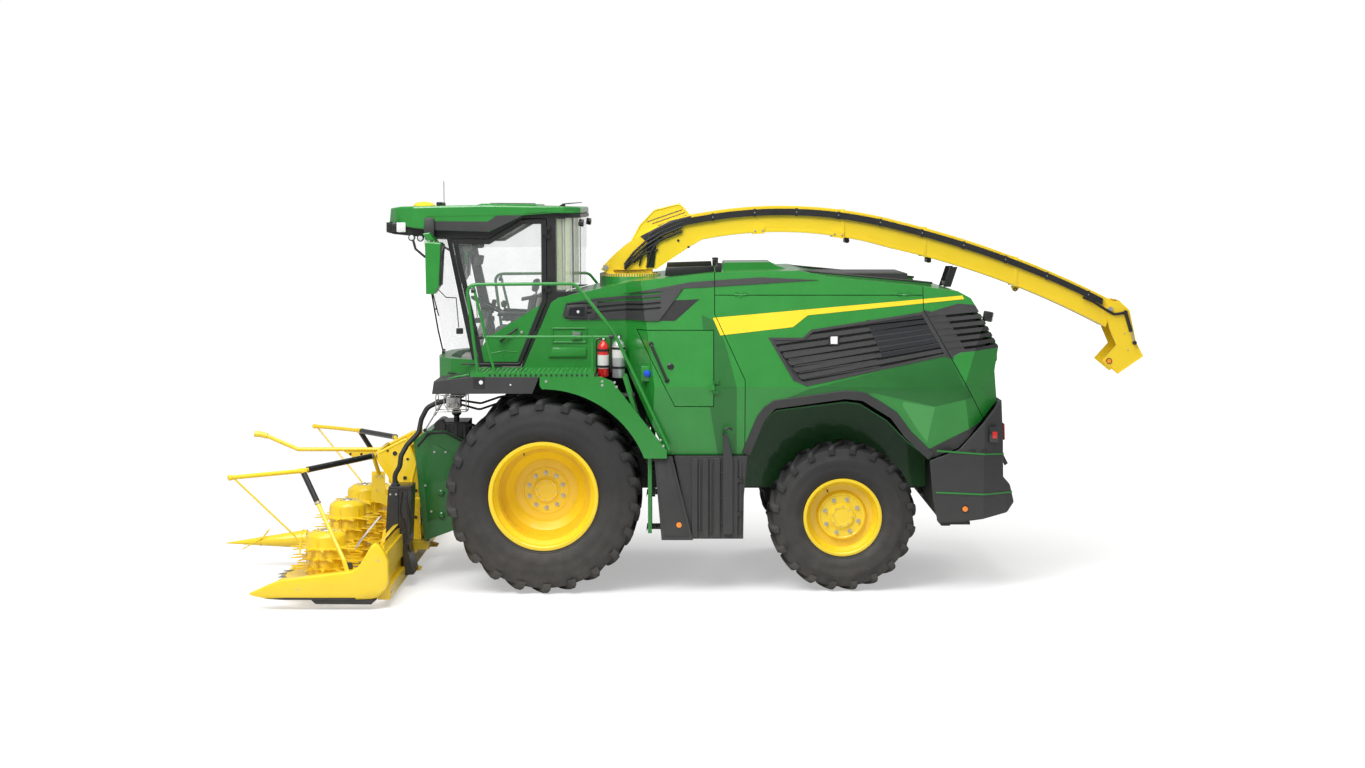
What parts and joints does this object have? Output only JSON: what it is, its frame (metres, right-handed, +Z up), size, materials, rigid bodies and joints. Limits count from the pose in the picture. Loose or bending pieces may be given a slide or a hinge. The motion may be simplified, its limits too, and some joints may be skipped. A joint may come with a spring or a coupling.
{
  "type": "forage harvester with a rotary maize header",
  "caption": "Self-propelled forage harvester with a rotary maize header in front, a glazed cab, large front wheels, steered rear wheels and a long curved discharge spout over its hood.",
  "frame": {"origin": "on the ground under the middle of the machine's overall box", "axes": "+Z up, the machine drives towards -X, its left side is -Y"},
  "size_m": [10.02, 4.5, 4.2376],
  "materials": {
    "body_green": "satin",
    "machine_yellow": "satin",
    "dark_frame": "satin",
    "engine_grey": "satin",
    "dark_plastic": "matte",
    "cab_black": "satin",
    "cab_glass": "gloss",
    "seat_fabric": "matte",
    "safety_red": "gloss",
    "tyre": "matte",
    "chrome_rod": "polished"
  },
  "bodies": {
    "machine": {"chassis_frame": "dark_frame", "engine_block": "engine_grey", "front_axle": "dark_frame", "rear_axle": "dark_frame", "chopper_housing": "dark_frame", "centre_body": "body_green", "body_louvres": "dark_plastic", "lower_side_boxes": "dark_plastic", "platforms_and_fenders": "body_green", "handrails": "body_green", "hood_top": "body_green", "spout_cradle": "dark_frame", "tail_body": "body_green", "rear_bumper": "dark_plastic", "wheel_liners": "body_green", "body_supports": "dark_frame", "cab_base": "body_green", "cab_frame": "cab_black", "cab_glass": "cab_glass", "cab_roof": "body_green", "operator_seat": "seat_fabric", "cab_controls": "cab_black", "cab_mirrors": "body_green", "roof_aerials": "cab_black", "fire_extinguishers": "safety_red"},
    "cab_door": {"cab_door_frame": "cab_black", "cab_door_panel": "body_green", "cab_door_glass": "cab_glass"},
    "left_side_door": {"side_door_left": "body_green", "side_grille_left": "dark_plastic"},
    "right_side_door": {"side_door_right": "body_green", "side_grille_right": "dark_plastic"},
    "left_service_door": {"service_door_left": "body_green"},
    "right_service_door": {"service_door_right": "body_green"},
    "left_front_wheel": {"front_tyre_left": "tyre", "front_rim_left": "machine_yellow"},
    "right_front_wheel": {"front_tyre_right": "tyre", "front_rim_right": "machine_yellow"},
    "left_knuckle": {"steering_knuckle_left": "dark_frame"},
    "right_knuckle": {"steering_knuckle_right": "dark_frame"},
    "left_rear_wheel": {"rear_tyre_left": "tyre", "rear_rim_left": "machine_yellow"},
    "right_rear_wheel": {"rear_tyre_right": "tyre", "rear_rim_right": "machine_yellow"},
    "track_rod": {"tie_rod": "dark_frame"},
    "header": {"header_frame": "machine_yellow", "row_dividers": "machine_yellow", "crop_guards": "machine_yellow", "feed_housing": "body_green", "header_drive_covers": "cab_black"},
    "outer_left_rotor": {"rotor_outer_left": "machine_yellow"},
    "inner_left_rotor": {"rotor_inner_left": "machine_yellow"},
    "inner_right_rotor": {"rotor_inner_right": "machine_yellow"},
    "outer_right_rotor": {"rotor_outer_right": "machine_yellow"},
    "lift_barrels": {"lift_cylinder_barrels": "cab_black"},
    "lift_rods": {"lift_cylinder_rods": "chrome_rod"},
    "spout_turntable": {"spout_base": "machine_yellow"},
    "spout": {"spout_duct": "machine_yellow", "spout_hose_guard": "cab_black"},
    "spout_end": {"spout_flap": "machine_yellow"}
  },
  "joints": [
    {"name": "left_front_wheel_spin", "type": "hinge", "parent": "machine", "child": "left_front_wheel", "pos_m": [-1.4, -1.145, 1.01], "axis": [0, 1, 0], "continuous": true},
    {"name": "right_front_wheel_spin", "type": "hinge", "parent": "machine", "child": "right_front_wheel", "pos_m": [-1.4, 1.145, 1.01], "axis": [0, 1, 0], "continuous": true},
    {"name": "left_steer", "type": "hinge", "parent": "machine", "child": "left_knuckle", "pos_m": [1.678, -0.8, 0.77], "axis": [0, 0, 1], "range_deg": [-35, 35]},
    {"name": "right_steer", "type": "hinge", "parent": "machine", "child": "right_knuckle", "pos_m": [1.678, 0.8, 0.77], "axis": [0, 0, 1], "range_deg": [-35, 35]},
    {"name": "track_rod_hinge", "type": "hinge", "parent": "left_knuckle", "child": "track_rod", "pos_m": [1.938, -0.77, 0.71], "axis": [0, 0, 1], "range_deg": [-35, 35]},
    {"name": "left_rear_wheel_spin", "type": "hinge", "parent": "left_knuckle", "child": "left_rear_wheel", "pos_m": [1.678, -1.08, 0.77], "axis": [0, 1, 0], "continuous": true},
    {"name": "right_rear_wheel_spin", "type": "hinge", "parent": "right_knuckle", "child": "right_rear_wheel", "pos_m": [1.678, 1.08, 0.77], "axis": [0, 1, 0], "continuous": true},
    {"name": "header_lift", "type": "hinge", "parent": "machine", "child": "header", "pos_m": [-1.65, 0, 1.33], "axis": [0, 1, 0], "range_deg": [0, 15]},
    {"name": "outer_left_rotor_spin", "type": "hinge", "parent": "header", "child": "outer_left_rotor", "pos_m": [-3.6, -1.59, 0.3], "axis": [0, 0, 1], "continuous": true},
    {"name": "inner_left_rotor_spin", "type": "hinge", "parent": "header", "child": "inner_left_rotor", "pos_m": [-3.56, -0.56, 0.3], "axis": [0, 0, 1], "continuous": true},
    {"name": "inner_right_rotor_spin", "type": "hinge", "parent": "header", "child": "inner_right_rotor", "pos_m": [-3.56, 0.56, 0.3], "axis": [0, 0, 1], "continuous": true},
    {"name": "outer_right_rotor_spin", "type": "hinge", "parent": "header", "child": "outer_right_rotor", "pos_m": [-3.6, 1.59, 0.3], "axis": [0, 0, 1], "continuous": true},
    {"name": "lift_barrel_hinge", "type": "hinge", "parent": "machine", "child": "lift_barrels", "pos_m": [-1.6, 0, 0.45], "axis": [0, 1, 0], "range_deg": [-1, 20]},
    {"name": "lift_rod_slide", "type": "slide", "parent": "lift_barrels", "child": "lift_rods", "axis": [-0.9992, 0, 0.04], "range_m": [-0.01, 0.24]},
    {"name": "spout_swing", "type": "hinge", "parent": "machine", "child": "spout_turntable", "pos_m": [-0.545, 0, 3.215], "axis": [0, 0, 1], "range_deg": [-100, 100]},
    {"name": "spout_lift", "type": "hinge", "parent": "spout_turntable", "child": "spout", "pos_m": [-0.8, 0, 3.31], "axis": [0, -1, 0], "range_deg": [0, 35]},
    {"name": "spout_flap_hinge", "type": "hinge", "parent": "spout", "child": "spout_end", "pos_m": [4.64, 0, 2.86], "axis": [0, -1, 0], "range_deg": [-20, 50]},
    {"name": "cab_door_hinge", "type": "hinge", "parent": "machine", "child": "cab_door", "pos_m": [-1.39, -0.905, 3], "axis": [0, 0, 1], "range_deg": [0, 35]},
    {"name": "left_side_door_hinge", "type": "hinge", "parent": "machine", "child": "left_side_door", "pos_m": [1.4, -1.193, 3.064], "axis": [-1, 0, 0], "range_deg": [0, 70]},
    {"name": "right_side_door_hinge", "type": "hinge", "parent": "machine", "child": "right_side_door", "pos_m": [1.4, 1.193, 3.064], "axis": [1, 0, 0], "range_deg": [0, 70]},
    {"name": "left_service_door_hinge", "type": "hinge", "parent": "machine", "child": "left_service_door", "pos_m": [0.344, -1.404, 2.3], "axis": [0, 0, 1], "range_deg": [0, 90]},
    {"name": "right_service_door_hinge", "type": "hinge", "parent": "machine", "child": "right_service_door", "pos_m": [0.344, 1.404, 2.3], "axis": [0, 0, -1], "range_deg": [0, 90]}
  ],
  "couplings": [
    {"joint": "right_steer", "follows": "left_steer", "ratio": 1},
    {"joint": "track_rod_hinge", "follows": "left_steer", "ratio": -1},
    {"joint": "lift_barrel_hinge", "follows": "header_lift", "ratio": 0.8081},
    {"joint": "lift_rod_slide", "follows": "header_lift", "m_per_rad": 0.8666}
  ]
}
